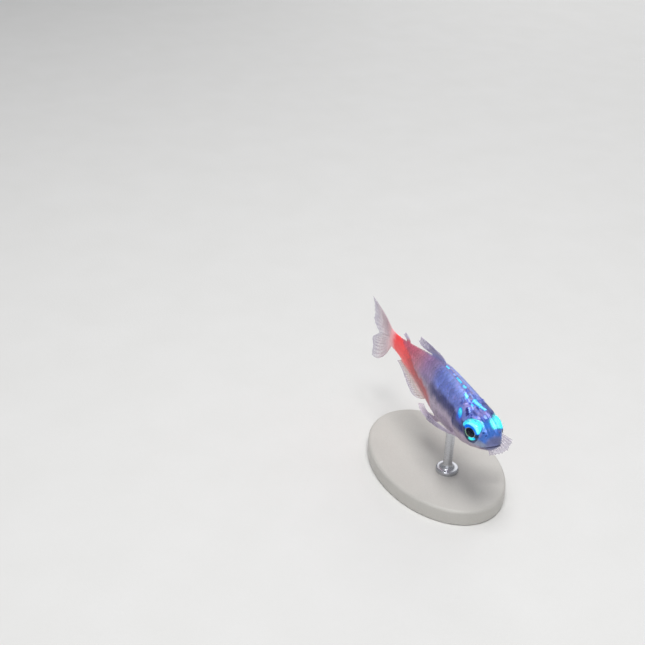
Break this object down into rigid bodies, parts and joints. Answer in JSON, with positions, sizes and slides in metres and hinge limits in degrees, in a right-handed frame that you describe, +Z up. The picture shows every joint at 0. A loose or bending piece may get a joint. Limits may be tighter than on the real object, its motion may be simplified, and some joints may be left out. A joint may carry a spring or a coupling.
{
  "type": "neon tetra model",
  "caption": "Life-size model of a small freshwater fish swimming level, with rayed fins, bulging eyes and a forked tail, on a flat oval stand with one rod.",
  "frame": {"origin": "centre of the overall box at the underside of the stand's base", "axes": "+X points the way the fish heads, +Y to its left, +Z up"},
  "size_m": [0.0331, 0.016, 0.0175],
  "materials": {
    "skin": "wet, scaled, iridescent blue and violet over a red rear stripe",
    "eye": "wet gloss, black pupil in a cyan ring",
    "fin": "thin, see-through membrane on pale rays",
    "stand_base": "satin",
    "stand_rod": "brushed"
  },
  "bodies": {
    "root": {"head": "skin", "trunk": "skin", "tail_stalk": "skin", "eye_left": "eye", "eye_right": "eye", "fin_dorsal": "fin", "fin_adipose": "fin", "fin_anal": "fin", "fin_tail_upper": "fin", "fin_tail_lower": "fin", "fin_pectoral_left": "fin", "fin_pectoral_right": "fin", "fin_pelvic_left": "fin", "fin_pelvic_right": "fin", "stand_base": "stand_base", "stand_rod": "stand_rod"}
  },
  "joints": []
}
